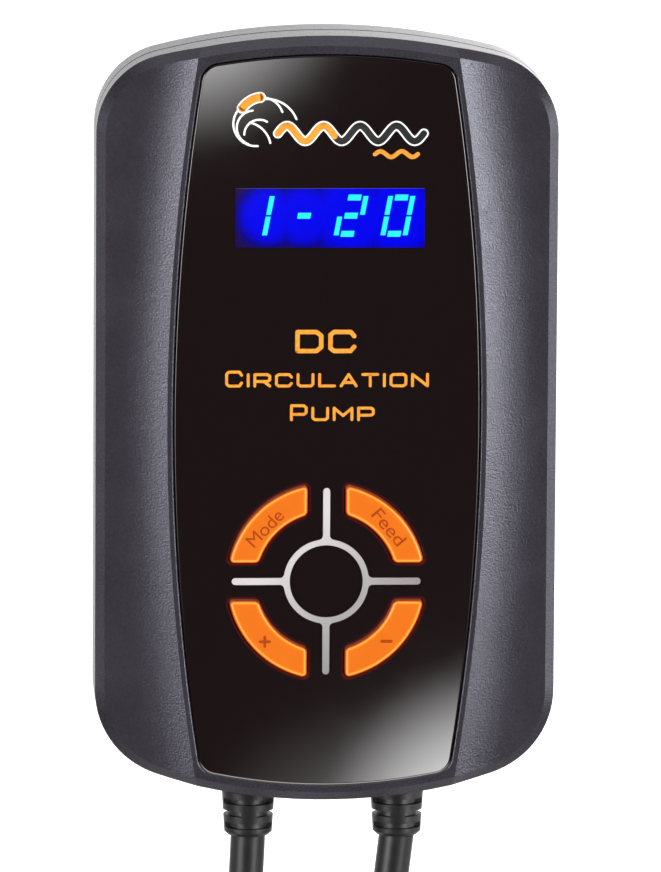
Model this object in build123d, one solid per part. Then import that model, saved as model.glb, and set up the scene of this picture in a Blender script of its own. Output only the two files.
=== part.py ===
from build123d import *
import math
import os

# Wall-hung controller of a direct-current aquarium pump.
# All sizes are in millimetres. +Z is up, +X is to the right of a person who faces
# the controller, and -Y points towards that person. The wall is the plane y = 0, and
# a "depth" is a distance in front of it. The origin is on the rear face, midway
# between the two keyholes that the controller hangs from.

# Case
CASE_WIDTH = 80.0
CASE_HEIGHT = 134.0
SPINE_DEPTH = 26.0
WING_DEPTH = 24.0
WALL = 2.2
CROWN_TOP_R = 120.0
CROWN_BOTTOM_R = 100.0
CORNER_TOP_R = 14.0
CORNER_BOTTOM_R = 15.5
BACK_EDGE_R = 7.5
FRONT_BEVEL = 1.6
BEYOND = 5.0

# Raised spine with bowed sides, and the concave slope beside it
SPINE_HALF = 27.7
SPINE_SIDE_R = 390.0
SLOPE_WIDTH = 10.3

# Joint between the two covers
PART_DEPTH = 15.5
PART_GAP = 0.8
SKIN = 0.9
TONGUE_INSET = 1.0
TONGUE_HEIGHT = 1.5
SEAL_HEIGHT = 0.6

# Keyholes
KEYHOLE_Z = 38.0
KEYHOLE_SPACING = 44.0
KEYHOLE_R = 4.0
KEYHOLE_SLOT = 4.2
KEYHOLE_RISE = 9.0
KEYHOLE_SKIN = 1.8
KEYHOLE_POCKET = 4.0
KEYHOLE_BOSS = 5.4
KEYHOLE_PAD = 13.0
CASE_CENTRE_Z = -KEYHOLE_Z

# Front panel
PANEL_INSET = 3.1
PANEL_DROP = 0.15
PANEL_HALF = SPINE_HALF - 1.2
PANEL_CORNER_R = 3.2
PANEL_GAP = 0.2
PANEL_BACK = 24.45
PANEL_EDGE_R = 0.3
OPENING_EDGE_R = 0.3
LEDGE_FRONT = 24.2
LEDGE_BACK = 22.0
TAPE_INSET = 0.4
TAPE_HOLE = (43.0, 30.0)
TAPE_HOLE_Z = 8.0

# Display
WINDOW_Z = 35.5
WINDOW_X = 0.3
WINDOW_WIDTH = 32.7
WINDOW_HEIGHT = 10.3
WINDOW_FLANGE = 0.8
WINDOW_BACK = 23.6
WINDOW_CLEAR = 1.5
WINDOW_GAP = 0.03
MODULE_WIDTH = 30.1
MODULE_HEIGHT = 10.1
MODULE_THICK = 6.5
DIGIT_PITCH = 8.05
DIGIT_HEIGHT = 7.3
SEGMENT_WIDTH = 0.9
SEGMENT_LENGTH = 2.6
SEGMENT_DEPTH = 0.6
SEGMENT_REACH = 1.9
PIN_PITCH = 2.54
MODULE_PINS = 6
MODULE_PIN_ROW = 3.81
MODULE_PIN_R = 0.3
PIN_STICK_OUT = 1.2

# Four keys around a ring
KEYS_Z = -28.1
KEY_INNER_R = 12.1
KEY_OUTER_R = 17.3
KEY_SIDE = 3.25
KEY_CORNER_R = 0.9
KEY_FRONT = 26.8
KEY_EDGE_R = 0.6
KEY_CLEAR = 0.3
KEY_FLANGE = 0.9
KEY_FLANGE_FRONT = 21.9
KEY_FLANGE_BACK = 20.9
KEY_POST_R = 1.6
KEY_POST_AT = 14.7
KEY_NAMES = ("feed", "mode", "plus", "minus")
SWITCH_SIDE = 6.0
SWITCH_TOP = 17.2
SWITCH_TIP = 17.9
SWITCH_TIP_R = 1.5
SWITCH_DIP = 0.6
SWITCH_FLOOR = 0.3
LIGHT_AT = 3.9
LIGHT_SIZE = (1.6, 0.9)
LIGHT_HEIGHT = 0.8
MAT_SIDE = 39.0
MAT_BACK = 19.0
MAT_FRONT = 19.6

# Silver ring with four spokes
RING_OUTER_R = 7.4
RING_INNER_R = 6.35
SPOKE_REACH = 16.4
SPOKE_WIDTH = 1.2
RING_THICK = 0.25
RING_ROOT_R = 0.8

# Circuit boards
BOARD_THICK = 1.6
DISPLAY_BOARD_BACK = 13.6
DISPLAY_BOARD_SIZE = (50.0, 98.0)
DISPLAY_BOARD_Z = -2.0
POWER_BOARD_BACK = 5.0
POWER_BOARD_SIZE = (52.0, 76.0)
POWER_BOARD_Z = -12.0
BOARD_SCREW_INSET = 3.2
BOARD_POST_R = 2.8
BOARD_HOLE = 5.0
SCREW_R = 1.0
SCREW_HEAD_R = 1.9
SCREW_HEAD_HEIGHT = 1.3
DISPLAY_SCREW_LENGTH = 6.2
POWER_SCREW_LENGTH = 5.2
SCREW_CROSS = 0.5
SCREW_CROSS_DEPTH = 0.8

# Parts on the boards
HEADER_Z = 18.0
HEADER_PINS = 8
HEADER_BLOCK = 2.5
HEADER_PIN = 0.64
CHIP_Z = 2.0
CHIP_SIDE = 7.0
CHIP_THICK = 1.5
CHIP_LEADS = 8
CHIP_LEAD_PITCH = 0.8
CHIP_LEAD = (0.35, 9.0)
CHIP_LEAD_THICK = 0.4
TRANSISTOR = (6.5, 6.1)
TRANSISTOR_TAB = (5.4, 1.4)
TRANSISTOR_LEAD = (0.8, 2.4)
TRANSISTOR_THICK = 2.3
TRANSISTOR_LEAD_THICK = 0.6
TRANSISTORS_AT = (-16.0, -22.0)
TRANSISTORS_PITCH = (9.0, 12.0)
CAPACITOR_R = 3.1
CAPACITOR_X = 12.0
CAPACITOR_PITCH = 7.0
CAPACITOR_ENDS = (-6.0, 5.5)
COIL_AT = (-14.0, -2.0)
COIL_SIDE = 12.0
COIL_HEIGHT = 5.5
COIL_GROOVE = (4.6, 3.6)
COIL_GROOVE_DEPTH = 0.6
TERMINAL_Z = -43.0
TERMINAL_PITCH = 2.5
TERMINAL_SIZE = (6.0, 5.8)
TERMINAL_HOLE_R = 0.7
TERMINAL_HOLE_DEPTH = 3.5
WIRE_R = 0.65
WIRE_PITCH = 1.5
WIRE_BEND_R = 1.6
WIRE_STRAIGHT = 3.0

# Case screws
CASE_SCREWS = ((31.0, 50.0), (31.0, -47.0))
CASE_BOSS_R = 3.8
CASE_SCREW_R = 1.45
CASE_SCREW_SEAT = 9.0
CASE_SCREW_END = 19.5
CASE_HEAD_R = 2.8
CASE_HEAD_HEIGHT = 2.2

# Leads: strain reliefs at the bottom, both on the joint between the covers
PUMP_LEAD_X = -12.9
SUPPLY_LEAD_X = 13.15
LEAD_R = 3.05
RELIEF_TOP_R = 4.75
RELIEF_END_R = 4.15
RELIEF_CORE_R = 3.45
RELIEF_NECK_R = 3.65
RELIEF_FLANGE_R = 5.4
RELIEF_SEAT_Z = -64.9
RELIEF_BOSS_Z = -60.5
RELIEF_END_Z = -74.7
RELIEF_SLOTS = 4
RELIEF_SLOT = 0.95
RELIEF_PITCH = 2.15
RELIEF_TIP = 1.9
RELIEF_BLOCK = 15.0
RELIEF_FLANGE = 2.0
RELIEF_BRIDGE = 2.6

# Routes of the two leads below their strain reliefs, relative to the case's centre
PUMP_ROUTE = ((PUMP_LEAD_X, -15.5, RELIEF_END_Z), (-13.8, -15.3, -97.0), (-17.0, -14.0, -135.0),
              (-18.6, -12.6, -180.0), (-15.6, -12.0, -224.0), (-15.6, -12.0, -262.0))
SUPPLY_ROUTE = ((SUPPLY_LEAD_X, -15.5, RELIEF_END_Z), (10.7, -15.2, -95.0), (8.8, -13.6, -128.0),
                (10.8, -12.4, -168.0), (17.4, -12.0, -212.0), (17.4, -12.0, -249.0))
BEND_SHARE = 0.45

# In-line connectors
PUMP_PLUG_R = 6.2
PUMP_PLUG_LENGTH = 30.0
PUMP_GRIP_LENGTH = 12.0
NUT_R = 7.8
NUT_LENGTH = 15.0
NUT_CLEAR = 0.3
NUT_RIBS = 24
RIB_GROOVE = 0.9
PLUG_NECK = 1.7
PLUG_COLLAR = 0.9
PLUG_NOSE = 1.9
COLLAR_TOP = 20.0
COLLAR_HEIGHT = 2.0
GRIP_GROOVE = 0.9
GRIP_GROOVE_DEPTH = 0.6
GRIP_PITCH = 2.0
GRIP_START = 4.1
GRIP_GROOVES = 4
PIN_REACH = 4.5
PIN_R = 0.8
PIN_AT = 2.6
SOCKET_R = 5.2
SOCKET_LENGTH = 26.0
SOCKET_BORE_R = 3.2
SOCKET_BORE_DEPTH = 9.5
SLEEVE_WALL = 0.35
CENTRE_PIN_R = 1.0


def front_view(depth):
    """Plane parallel to the wall, seen from the front and centred on the case."""
    return Plane(origin=(0, -depth, CASE_CENTRE_Z), x_dir=(1, 0, 0), z_dir=(0, -1, 0))


def prism(outline, start, end):
    """Solid with this outline between two depths in front of the wall."""
    return extrude(front_view(start) * outline, amount=end - start)


def at_case(x, y, z):
    """A place given from the case's centre, with y as it is."""
    return Vector(x, y, z + CASE_CENTRE_Z)


def upright(radius, x, depth, low, high):
    """Cylinder along Z between two heights over the case's centre."""
    height = high - low
    return Pos(at_case(x, -depth, (low + high) / 2)) * Cylinder(radius, height)


def case_outline(inset):
    """Outline of the case, moved inwards: bowed top and bottom, straight sides."""
    half = CASE_WIDTH / 2 - inset
    top = CASE_HEIGHT / 2 - inset
    top_r = CROWN_TOP_R - inset
    bottom_r = CROWN_BOTTOM_R - inset
    high = top - top_r + math.sqrt(top_r**2 - half**2)
    low = bottom_r - top - math.sqrt(bottom_r**2 - half**2)
    edges = [
        Line((-half, low), (-half, high)),
        ThreePointArc((-half, high), (0, top), (half, high)),
        Line((half, high), (half, low)),
        ThreePointArc((half, low), (0, -top), (-half, low)),
    ]
    outline = make_face(edges)
    outline = fillet(outline.vertices().group_by(Axis.Y)[-1], CORNER_TOP_R - inset)
    return fillet(outline.vertices().group_by(Axis.Y)[0], CORNER_BOTTOM_R - inset)


def bowed_strip(half_width):
    """Area between the two bowed sides of the spine."""
    reach = SPINE_SIDE_R - SPINE_HALF
    disc = Circle(reach + half_width)
    return (Pos(-reach, 0) * disc) & (Pos(reach, 0) * disc)


def panel_outline(grow):
    """Outline of the glass panel, grown by a clearance."""
    outline = bowed_strip(PANEL_HALF + grow) & Pos(0, -PANEL_DROP) * case_outline(PANEL_INSET - grow)
    return fillet(outline.vertices(), PANEL_CORNER_R + grow)


def window_outline(grow):
    """Outline of the display window, grown by a clearance."""
    return Pos(WINDOW_X, WINDOW_Z) * Rectangle(WINDOW_WIDTH + 2 * grow, WINDOW_HEIGHT + 2 * grow)


def key_outline(grow, quadrant):
    """One quarter-ring key, grown by a clearance and turned to its quadrant."""
    side = KEY_SIDE - grow
    ring = Circle(KEY_OUTER_R + grow) - Circle(KEY_INNER_R - grow)
    reach = KEY_OUTER_R + BEYOND
    corner = Pos(side, side) * Rectangle(reach, reach, align=(Align.MIN, Align.MIN))
    outline = ring & corner
    outline = fillet(outline.vertices(), KEY_CORNER_R + grow)
    return Pos(0, KEYS_Z) * Rot(0, 0, 90 * quadrant) * outline


def key_posts():
    """Centres of the keys' posts, in the order of the quadrants."""
    reach = KEY_POST_AT / math.sqrt(2)
    turns = ((1, 1), (-1, 1), (-1, -1), (1, -1))
    return [(sx * reach, KEYS_Z + sz * reach) for sx, sz in turns]


def mirrored(places):
    """The same places on the right and on the left."""
    return [(side * x, z) for x, z in places for side in (1, -1)]


def board_screws(size, centre_z):
    """Places of a board's four screws."""
    x = size[0] / 2 - BOARD_SCREW_INSET
    z = size[1] / 2 - BOARD_SCREW_INSET
    return mirrored([(x, centre_z + z), (x, centre_z - z)])


def slope_beside_spine():
    """Concave slope from the spine's right edge down to the wing, swept along the bow."""
    inner = SPINE_HALF - BEYOND
    outer = SPINE_HALF + SLOPE_WIDTH
    back = -PART_DEPTH - PART_GAP
    edges = [
        Line((inner, back), (inner, -SPINE_DEPTH)),
        Line((inner, -SPINE_DEPTH), (SPINE_HALF, -SPINE_DEPTH)),
        TangentArc((outer, -WING_DEPTH), (SPINE_HALF, -SPINE_DEPTH), tangent=(-1, 0)),
        Line((outer, -WING_DEPTH), (outer, back)),
        Line((outer, back), (inner, back)),
    ]
    profile = Pos(0, 0, CASE_CENTRE_Z) * make_face(edges)
    axis = Axis((SPINE_HALF - SPINE_SIDE_R, 0, CASE_CENTRE_Z), (0, 1, 0))
    half_turn = math.degrees(math.asin(CASE_HEIGHT / 2 / SPINE_SIDE_R)) + 1
    return revolve(profile, axis, revolution_arc=2 * half_turn).rotate(axis, -half_turn)


def front_shell():
    """Outer shape of the front cover, still solid, with its front edge bevelled all round."""
    outline = case_outline(0)
    back = PART_DEPTH + PART_GAP / 2
    shell = prism(outline, back, WING_DEPTH)
    shell += prism(outline & bowed_strip(SPINE_HALF), back, SPINE_DEPTH)
    slope = slope_beside_spine() & prism(outline, back, SPINE_DEPTH + BEYOND)
    shell += slope + mirror(slope, about=Plane.YZ)
    rim = []
    for wall in shell.faces():
        if abs(wall.normal_at().Y) < 0.01:
            rim += [edge for edge in wall.edges() if edge.center().Y < 0.1 - WING_DEPTH]
    return chamfer(rim, FRONT_BEVEL)


def relief_boss(start, end):
    """Block around both strain reliefs, inside the bottom wall."""
    blocks = Part()
    low = RELIEF_SEAT_Z - BEYOND
    for x in (PUMP_LEAD_X, SUPPLY_LEAD_X):
        block = Pos(x, (RELIEF_BOSS_Z + low) / 2) * Rectangle(RELIEF_BLOCK, RELIEF_BOSS_Z - low)
        blocks += prism(block & case_outline(WALL / 2), start, end)
    return blocks


def relief_holes():
    """Room for both strain reliefs in the bottom wall."""
    holes = Part()
    for x in (PUMP_LEAD_X, SUPPLY_LEAD_X):
        holes += upright(RELIEF_TOP_R + 0.1, x, PART_DEPTH, RELIEF_END_Z, RELIEF_SEAT_Z)
        holes += upright(RELIEF_NECK_R + 0.05, x, PART_DEPTH, RELIEF_END_Z, RELIEF_BOSS_Z + 1)
    return holes


def front_cover():
    front = SPINE_DEPTH + BEYOND
    cover = front_shell() - prism(panel_outline(PANEL_GAP), LEDGE_FRONT, front)
    opening = cover.faces().sort_by(Axis.Y)[0].inner_wires()[0]
    cover = fillet(opening.edges(), OPENING_EDGE_R)
    seal_front = PART_DEPTH + TONGUE_HEIGHT + SEAL_HEIGHT
    cover -= prism(case_outline(WALL), PART_DEPTH, LEDGE_BACK)
    cover -= prism(case_outline(SKIN), PART_DEPTH, seal_front)
    cover += relief_boss(seal_front, LEDGE_BACK)
    cover -= prism(window_outline(WINDOW_CLEAR), LEDGE_BACK - 1, front)
    for quadrant in range(4):
        cover -= prism(key_outline(KEY_CLEAR, quadrant), LEDGE_BACK - 1, front)
    for x, z in mirrored(CASE_SCREWS):
        cover += prism(Pos(x, z) * Circle(CASE_BOSS_R), PART_DEPTH, LEDGE_BACK)
        cover -= prism(Pos(x, z) * Circle(CASE_SCREW_R), PART_DEPTH, CASE_SCREW_END + 0.5)
    board_front = DISPLAY_BOARD_BACK + BOARD_THICK
    for x, z in board_screws(DISPLAY_BOARD_SIZE, DISPLAY_BOARD_Z):
        cover += prism(Pos(x, z) * Circle(BOARD_POST_R), board_front, LEDGE_BACK)
        cover -= prism(Pos(x, z) * Circle(SCREW_R), board_front, board_front + BOARD_HOLE)
    return cover - relief_holes()


def keyhole(x):
    """Round entry, slot above it and a wider pocket behind the skin for the screw's head."""
    entry = Pos(x, KEYHOLE_Z) * Circle(KEYHOLE_R)
    slot_centre = KEYHOLE_Z + KEYHOLE_RISE / 2
    slot = Pos(x, slot_centre) * Rectangle(KEYHOLE_SLOT, KEYHOLE_RISE)
    slot += Pos(x, KEYHOLE_Z + KEYHOLE_RISE) * Circle(KEYHOLE_SLOT / 2)
    pocket = entry + Pos(x, slot_centre) * Rectangle(2 * KEYHOLE_R, KEYHOLE_RISE)
    pocket += Pos(x, KEYHOLE_Z + KEYHOLE_RISE) * Circle(KEYHOLE_R)
    cut = prism(entry + slot, -BEYOND, KEYHOLE_SKIN)
    return cut + prism(pocket, KEYHOLE_SKIN, KEYHOLE_POCKET)


def rear_cover():
    outer = prism(case_outline(0), 0, PART_DEPTH - PART_GAP / 2)
    outer = fillet(outer.faces().sort_by(Axis.Y)[-1].edges(), BACK_EDGE_R)
    inner = prism(case_outline(WALL), WALL, PART_DEPTH + BEYOND)
    inner = fillet(inner.faces().sort_by(Axis.Y)[-1].edges(), BACK_EDGE_R - WALL)
    tongue = prism(case_outline(TONGUE_INSET), BACK_EDGE_R, PART_DEPTH + TONGUE_HEIGHT)
    cover = outer + tongue - inner
    cover += relief_boss(KEYHOLE_POCKET, PART_DEPTH + TONGUE_HEIGHT)
    for x, z in mirrored(CASE_SCREWS):
        cover += prism(Pos(x, z) * Circle(CASE_BOSS_R), WALL / 2, PART_DEPTH)
        cover -= prism(Pos(x, z) * Circle(CASE_HEAD_R + 0.3), -BEYOND, CASE_SCREW_SEAT)
        cover -= prism(Pos(x, z) * Circle(CASE_SCREW_R + 0.2), -BEYOND, PART_DEPTH + BEYOND)
    for x, z in board_screws(POWER_BOARD_SIZE, POWER_BOARD_Z):
        cover += prism(Pos(x, z) * Circle(BOARD_POST_R), WALL / 2, POWER_BOARD_BACK)
        cover -= prism(Pos(x, z) * Circle(SCREW_R), WALL / 2, POWER_BOARD_BACK)
    for side in (1, -1):
        x = side * KEYHOLE_SPACING / 2
        boss = RectangleRounded(KEYHOLE_PAD, KEYHOLE_RISE + KEYHOLE_PAD, WALL)
        cover += prism(Pos(x, KEYHOLE_Z + KEYHOLE_RISE / 2) * boss, WALL / 2, KEYHOLE_BOSS)
        cover -= keyhole(x)
    return cover - relief_holes()


def cover_seal():
    """Rubber ring squeezed between the tongue and the front cover."""
    band = case_outline(TONGUE_INSET) - case_outline(WALL - 0.1)
    start = PART_DEPTH + TONGUE_HEIGHT
    return prism(band, start, start + SEAL_HEIGHT) - relief_holes()


def front_panel():
    panel = prism(panel_outline(0), PANEL_BACK, SPINE_DEPTH)
    front = panel.faces().sort_by(Axis.Y)[0]
    panel = fillet(front.edges(), PANEL_EDGE_R)
    panel -= prism(window_outline(0), LEDGE_BACK, SPINE_DEPTH + BEYOND)
    for quadrant in range(4):
        panel -= prism(key_outline(KEY_CLEAR, quadrant), LEDGE_BACK, SPINE_DEPTH + BEYOND)
    return panel


def panel_adhesive():
    """Die-cut tape between the panel and the ledge of the front cover."""
    tape = panel_outline(-TAPE_INSET) - window_outline(WINDOW_CLEAR)
    for quadrant in range(4):
        tape -= key_outline(KEY_FLANGE, quadrant)
    tape -= Pos(0, TAPE_HOLE_Z) * RectangleRounded(*TAPE_HOLE, TAPE_INSET)
    return prism(tape, LEDGE_FRONT, PANEL_BACK)


def display_window():
    """Blue lens, flush with the panel, with a thin flange behind it."""
    lens = prism(window_outline(-WINDOW_GAP), PANEL_BACK, SPINE_DEPTH - WINDOW_GAP)
    return lens + prism(window_outline(WINDOW_FLANGE), WINDOW_BACK, PANEL_BACK)


def module_pins():
    """Places of the display module's two rows of pins."""
    middle = (MODULE_PINS - 1) / 2
    return [
        (WINDOW_X + (pin - middle) * PIN_PITCH, WINDOW_Z + side * MODULE_PIN_ROW)
        for pin in range(MODULE_PINS) for side in (1, -1)
    ]


def display_module():
    """Four-digit light-emitting display: reflector body with segment cavities, and pins."""
    back = DISPLAY_BOARD_BACK + BOARD_THICK
    front = back + MODULE_THICK
    body = prism(Pos(WINDOW_X, WINDOW_Z) * Rectangle(MODULE_WIDTH, MODULE_HEIGHT), back, front)
    step = (DIGIT_HEIGHT - SEGMENT_WIDTH) / 2
    cavities = Sketch()
    for digit in range(4):
        place = Pos(WINDOW_X + (digit - 1.5) * DIGIT_PITCH, WINDOW_Z)
        for z in (-step, 0, step):
            cavities += place * Pos(0, z) * Rectangle(SEGMENT_LENGTH, SEGMENT_WIDTH)
        for x in (-SEGMENT_REACH, SEGMENT_REACH):
            for z in (-step / 2, step / 2):
                cavities += place * Pos(x, z) * Rectangle(SEGMENT_WIDTH, SEGMENT_LENGTH)
    body -= prism(cavities, front - SEGMENT_DEPTH, front + BEYOND)
    for x, z in module_pins():
        body += prism(Pos(x, z) * Circle(MODULE_PIN_R), DISPLAY_BOARD_BACK - PIN_STICK_OUT, back)
    return body


def key(quadrant):
    """Hard key: rounded cap, retaining flange behind the ledge and a post for the switch."""
    outline = key_outline(0, quadrant)
    cap = prism(outline, KEY_FLANGE_FRONT, KEY_FRONT)
    cap = fillet(cap.faces().sort_by(Axis.Y)[0].edges(), KEY_EDGE_R)
    cap += prism(key_outline(KEY_FLANGE, quadrant), KEY_FLANGE_BACK, KEY_FLANGE_FRONT)
    x, z = key_posts()[quadrant]
    return cap + prism(Pos(x, z) * Circle(KEY_POST_R), SWITCH_TIP, KEY_FLANGE_BACK)


def switch_tip(quadrant):
    """Plunger of the push switch behind one key."""
    x, z = key_posts()[quadrant]
    return prism(Pos(x, z) * Circle(SWITCH_TIP_R), SWITCH_TOP - SWITCH_DIP, SWITCH_TIP)


def key_switches():
    """Bodies of the four push switches, each with a well for its plunger."""
    back = DISPLAY_BOARD_BACK + BOARD_THICK
    bodies = Part()
    for x, z in key_posts():
        place = Pos(x, z)
        body = prism(place * RectangleRounded(SWITCH_SIDE, SWITCH_SIDE, 0.5), back, SWITCH_TOP)
        bodies += body - prism(place * Circle(SWITCH_TIP_R + 0.1), back + SWITCH_FLOOR, SWITCH_TOP)
    return bodies


def key_lights():
    """Two small light-emitting diodes beside each switch."""
    back = DISPLAY_BOARD_BACK + BOARD_THICK
    lights = Part()
    for x, z in key_posts():
        for shift in (-1, 1):
            turn = 1 if x * (z - KEYS_Z) > 0 else -1
            place = Pos(x - shift * LIGHT_AT, z + turn * shift * LIGHT_AT)
            lights += prism(place * Rectangle(*LIGHT_SIZE), back, back + LIGHT_HEIGHT)
    return lights


def keypad_mat():
    """Rubber sheet behind the keys that keeps splashes off the switches."""
    mat = Pos(0, KEYS_Z) * RectangleRounded(MAT_SIDE, MAT_SIDE, 3)
    for x, z in key_posts():
        mat -= Pos(x, z) * Circle(KEY_POST_R + 0.3)
    return prism(mat, MAT_BACK, MAT_FRONT)


def key_ring():
    """Silver trim on the panel: a ring with four round-ended spokes."""
    ring = Circle(RING_OUTER_R) + SlotOverall(2 * SPOKE_REACH, SPOKE_WIDTH)
    ring += Rot(0, 0, 90) * SlotOverall(2 * SPOKE_REACH, SPOKE_WIDTH)
    roots = ring.vertices().filter_by(lambda v: abs(math.hypot(v.X, v.Y) - RING_OUTER_R) < 0.05)
    ring = fillet(roots, RING_ROOT_R) - Circle(RING_INNER_R)
    return prism(Pos(0, KEYS_Z) * ring, SPINE_DEPTH, SPINE_DEPTH + RING_THICK)


def board(size, centre_z, back, cut_corner):
    """Circuit board with its four screw holes."""
    outline = Pos(0, centre_z) * RectangleRounded(size[0], size[1], cut_corner)
    for x, z in board_screws(size, centre_z):
        outline -= Pos(x, z) * Circle(SCREW_R + 0.15)
    return prism(outline, back, back + BOARD_THICK)


def display_board():
    plate = board(DISPLAY_BOARD_SIZE, DISPLAY_BOARD_Z, DISPLAY_BOARD_BACK, 1.5)
    for x, z in module_pins():
        hole = Pos(x, z) * Circle(1.5 * MODULE_PIN_R)
        plate -= prism(hole, POWER_BOARD_BACK, DISPLAY_BOARD_BACK + BEYOND)
    return plate


def power_board():
    return board(POWER_BOARD_SIZE, POWER_BOARD_Z, POWER_BOARD_BACK, 2.0)


def board_header():
    """Pin header that joins the two boards."""
    start = POWER_BOARD_BACK + BOARD_THICK
    end = DISPLAY_BOARD_BACK
    block = Pos(0, HEADER_Z) * Rectangle(HEADER_PINS * PIN_PITCH, HEADER_BLOCK)
    header = prism(block, start, start + HEADER_BLOCK) + prism(block, end - HEADER_BLOCK, end)
    for pin in range(HEADER_PINS):
        x = (pin - (HEADER_PINS - 1) / 2) * PIN_PITCH
        header += prism(Pos(x, HEADER_Z) * Rectangle(HEADER_PIN, HEADER_PIN), start, end)
    return header


def microcontroller():
    """Square chip with leads on four sides, on the back of the display board."""
    end = DISPLAY_BOARD_BACK
    chip = prism(Pos(0, CHIP_Z) * Rectangle(CHIP_SIDE, CHIP_SIDE), end - CHIP_THICK, end - 0.1)
    for lead in range(CHIP_LEADS):
        shift = (lead - (CHIP_LEADS - 1) / 2) * CHIP_LEAD_PITCH
        for turn in (0, 90):
            leads = Rot(0, 0, turn) * (Pos(shift, 0) * Rectangle(*CHIP_LEAD))
            chip += prism(Pos(0, CHIP_Z) * leads, end - CHIP_LEAD_THICK, end)
    return chip


def power_transistors():
    """Six flat transistors that drive the three windings of the pump."""
    start = POWER_BOARD_BACK + BOARD_THICK
    leads_end = start + TRANSISTOR_LEAD_THICK
    above = (TRANSISTOR[1] + TRANSISTOR_TAB[1]) / 2 - 0.15
    below = (TRANSISTOR[1] + TRANSISTOR_LEAD[1]) / 2 - 0.05
    chips = Part()
    for column in range(3):
        for row in range(2):
            x = TRANSISTORS_AT[0] + column * TRANSISTORS_PITCH[0]
            place = Pos(x, TRANSISTORS_AT[1] - row * TRANSISTORS_PITCH[1])
            chips += prism(place * Rectangle(*TRANSISTOR), start, start + TRANSISTOR_THICK)
            chips += prism(place * Pos(0, above) * Rectangle(*TRANSISTOR_TAB), start, leads_end)
            for side in (-2.3, 2.3):
                foot = place * Pos(side, -below) * Rectangle(*TRANSISTOR_LEAD)
                chips += prism(foot, start, leads_end)
    return chips


def smoothing_capacitors():
    """Three round electrolytic capacitors lying on the power board."""
    depth = POWER_BOARD_BACK + BOARD_THICK + CAPACITOR_R + 0.05
    cans = Part()
    for can in range(3):
        cans += upright(CAPACITOR_R, CAPACITOR_X + can * CAPACITOR_PITCH, depth, *CAPACITOR_ENDS)
    return cans


def power_inductor():
    start = POWER_BOARD_BACK + BOARD_THICK
    top = start + COIL_HEIGHT
    coil = prism(Pos(*COIL_AT) * RectangleRounded(COIL_SIDE, COIL_SIDE, 2.5), start, top)
    groove = Circle(COIL_GROOVE[0]) - Circle(COIL_GROOVE[1])
    return coil - prism(Pos(*COIL_AT) * groove, top - COIL_GROOVE_DEPTH, top + BEYOND)


def lead_terminals():
    """Two wire sockets on the power board, above the strain reliefs."""
    start = POWER_BOARD_BACK + BOARD_THICK
    height, rise = TERMINAL_SIZE
    low = TERMINAL_Z - height / 2
    blocks = Part()
    for x, ways in ((PUMP_LEAD_X, 3), (SUPPLY_LEAD_X, 2)):
        face = Pos(x, TERMINAL_Z) * Rectangle(TERMINAL_PITCH * (ways + 1), height)
        block = prism(face, start, start + rise)
        for way in range(ways):
            hole_x = x + (way - (ways - 1) / 2) * TERMINAL_PITCH
            depth = start + WIRE_STRAIGHT
            block -= upright(TERMINAL_HOLE_R, hole_x, depth, low - 1, low + TERMINAL_HOLE_DEPTH)
        blocks += block
    return blocks


def inner_wires(x, ways):
    """Insulated wires from a strain relief's inner end to its terminal."""
    socket_depth = POWER_BOARD_BACK + BOARD_THICK + WIRE_STRAIGHT
    low = RELIEF_BOSS_Z + RELIEF_FLANGE
    high = TERMINAL_Z - TERMINAL_SIZE[0] / 2
    wires = Part()
    for way in range(ways):
        shift = way - (ways - 1) / 2
        near = x + shift * WIRE_PITCH
        far = x + shift * TERMINAL_PITCH
        start = at_case(near, -PART_DEPTH, low)
        middle = at_case(near, -PART_DEPTH, low + WIRE_STRAIGHT)
        bend = at_case(far, -socket_depth, high - 2.5)
        end = at_case(far, -socket_depth, high + 0.5)
        path = FilletPolyline(start, middle, bend, end, radius=WIRE_BEND_R)
        wires += sweep(Plane(origin=start, z_dir=(0, 0, 1)) * Circle(WIRE_R), path=path)
    return wires


def flat_screw(x, z, seat, towards_front, shank, length, head_r, head_height):
    """Cross-head screw: seat is the depth of the head's underside."""
    turn = 1 if towards_front else -1
    tip = seat + turn * length
    top = seat - turn * head_height
    body = prism(Pos(x, z) * Circle(shank), min(seat, tip), max(seat, tip))
    head = prism(Pos(x, z) * Circle(head_r), min(seat, top), max(seat, top))
    slot = Rectangle(head_r * 1.2, SCREW_CROSS)
    cross = Pos(x, z) * (slot + Rot(0, 0, 90) * slot)
    dip = top + turn * SCREW_CROSS_DEPTH
    return body + head - prism(cross, min(top, dip), max(top, dip))


def board_screw(x, z, seat, towards_front, length):
    """Small screw that holds a board."""
    head = (SCREW_HEAD_R, SCREW_HEAD_HEIGHT)
    return flat_screw(x, z, seat, towards_front, SCREW_R, length, *head)


def display_board_screws():
    screws = Part()
    for x, z in board_screws(DISPLAY_BOARD_SIZE, DISPLAY_BOARD_Z):
        screws += board_screw(x, z, DISPLAY_BOARD_BACK, True, DISPLAY_SCREW_LENGTH)
    return screws


def power_board_screws():
    screws = Part()
    front = POWER_BOARD_BACK + BOARD_THICK
    for x, z in board_screws(POWER_BOARD_SIZE, POWER_BOARD_Z):
        screws += board_screw(x, z, front, False, POWER_SCREW_LENGTH)
    return screws


def cover_screws():
    screws = Part()
    seat = CASE_SCREW_SEAT
    length = CASE_SCREW_END - seat
    for x, z in mirrored(CASE_SCREWS):
        screws += flat_screw(x, z, seat, True, CASE_SCREW_R, length, CASE_HEAD_R, CASE_HEAD_HEIGHT)
    return screws


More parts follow.
